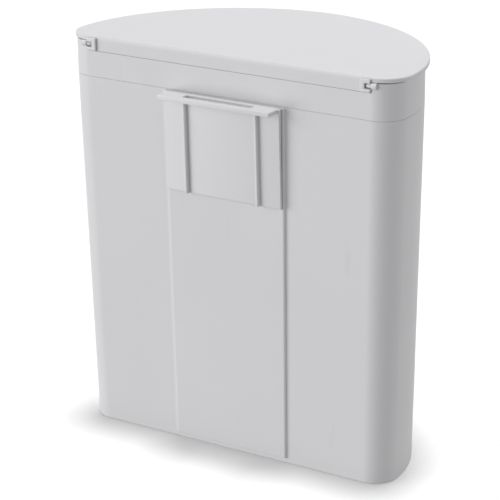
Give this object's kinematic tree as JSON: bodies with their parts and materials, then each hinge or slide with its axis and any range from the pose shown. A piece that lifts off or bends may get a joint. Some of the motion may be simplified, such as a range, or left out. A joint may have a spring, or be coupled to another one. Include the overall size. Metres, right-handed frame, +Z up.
{
  "type": "dog waste bin",
  "caption": "Slim D-plan waste bin with a flat back, a hinged lid over a lift-off collar and bag ring, and an L-shaped hanger bracket.",
  "frame": {"origin": "centre of the whole bin's box, lid and hanger included, on the surface it stands on", "axes": "+Z up, the curved front faces -Y, the flat back and its hanger face +Y, +X to the bin's left as seen from its front"},
  "size_m": [0.2902, 0.1714, 0.3174],
  "materials": {
    "shell": "fine matt moulded texture",
    "lid": "fine matt moulded texture",
    "fittings": "smooth satin",
    "inner": "satin",
    "gasket": "soft matt",
    "filter": "carbon felt"
  },
  "bodies": {
    "bin_body": {"body_shell": "shell"},
    "hanger": {"hanger_bracket": "fittings"},
    "collar": {"collar_ring": "shell", "hinge_pin_left": "fittings", "hinge_pin_right": "fittings"},
    "bag_holder": {"bag_ring": "inner"},
    "lid": {"lid_panel": "lid", "lid_gasket": "gasket", "hinge_clip_left": "fittings", "hinge_clip_right": "fittings", "filter_pad": "filter"},
    "filter_cover": {"filter_slide": "inner"}
  },
  "joints": [
    {"name": "collar_lift", "type": "slide", "parent": "bin_body", "child": "collar", "axis": [0, 0, 1], "range_m": [0, 0.035]},
    {"name": "lid_hinge", "type": "hinge", "parent": "collar", "child": "lid", "pos_m": [0, 0.06785, 0.3113], "axis": [-1, 0, 0], "range_deg": [0, 100]},
    {"name": "bag_ring_lift", "type": "slide", "parent": "collar", "child": "bag_holder", "axis": [0, 0, 1], "range_m": [0, 0.024]},
    {"name": "filter_slide_out", "type": "slide", "parent": "lid", "child": "filter_cover", "axis": [0, -1, 0], "range_m": [0, 0.05]},
    {"name": "hanger_lift", "type": "slide", "parent": "bin_body", "child": "hanger", "axis": [0, 0, 1], "range_m": [0, 0.008]}
  ]
}
